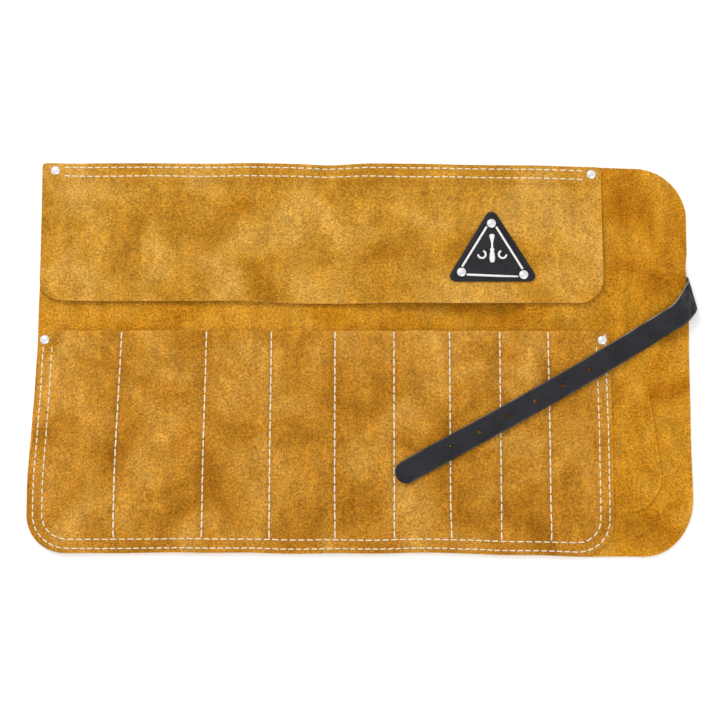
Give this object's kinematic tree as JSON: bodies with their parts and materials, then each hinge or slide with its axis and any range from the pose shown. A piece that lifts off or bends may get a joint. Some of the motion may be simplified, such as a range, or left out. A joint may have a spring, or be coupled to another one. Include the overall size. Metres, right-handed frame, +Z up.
{
  "type": "carving tool roll",
  "caption": "Suede tool roll laid open: sewn pockets in a row, a fold-down flap with a riveted badge, and a punched leather strap with a buckle.",
  "frame": {"origin": "middle of the backing hide's underside, on the surface that the open roll lies on", "axes": "+X along the row of pockets toward the strap end, +Y toward the flap's fold, +Z up out of the surface"},
  "size_m": [0.6069, 0.36, 0.013],
  "materials": {
    "backing_suede": "golden ochre suede with a short nap",
    "pocket_suede": "golden ochre suede with a short nap",
    "flap_suede": "golden ochre suede with a short nap",
    "rivet_steel": "polished double-cap rivets",
    "thread": "waxed off-white linen thread",
    "badge_leather": "black smooth leather",
    "badge_paint": "flat white paint",
    "strap_leather": "black smooth leather, lightly grained, pale cut edge",
    "buckle_steel": "polished steel"
  },
  "bodies": {
    "roll": {"backing": "backing_suede", "pocket_1": "pocket_suede", "pocket_2": "pocket_suede", "pocket_3": "pocket_suede", "pocket_4": "pocket_suede", "pocket_5": "pocket_suede", "pocket_6": "pocket_suede", "pocket_7": "pocket_suede", "pocket_8": "pocket_suede", "pocket_9": "pocket_suede", "pocket_rivets": "rivet_steel", "edge_stitching": "thread", "seam_stitching": "thread", "flap_hem": "flap_suede", "hem_rivets": "rivet_steel", "hem_stitching": "thread", "strap_back": "strap_leather", "strap_rivets": "rivet_steel", "strap_bend": "strap_leather"},
    "flap": {"flap": "flap_suede", "badge_plate": "badge_leather", "badge_lines": "badge_paint", "badge_emblem": "badge_paint", "badge_rivets": "rivet_steel"},
    "strap": {"strap_front": "strap_leather"},
    "buckle": {"buckle_frame": "buckle_steel"},
    "tongue": {"buckle_tongue": "buckle_steel"}
  },
  "joints": [
    {"name": "flap_fold", "type": "hinge", "parent": "roll", "child": "flap", "pos_m": [0, 0.1625, 0.005], "axis": [-1, 0, 0], "range_deg": [0, 170]},
    {"name": "strap_swing", "type": "hinge", "parent": "roll", "child": "strap", "pos_m": [0.3, 0.0575, 0.00685], "axis": [-0.2555, 0.9668, 0], "range_deg": [0, 180], "deforming": ["strap_bend"]},
    {"name": "buckle_swing", "type": "hinge", "parent": "roll", "child": "buckle", "pos_m": [0.184, 0.0575, 0.0028], "axis": [0, -1, 0], "range_deg": [0, 90]},
    {"name": "tongue_swing", "type": "hinge", "parent": "buckle", "child": "tongue", "pos_m": [0.184, 0.0575, 0.0028], "axis": [0, -1, 0], "range_deg": [0, 60]}
  ]
}
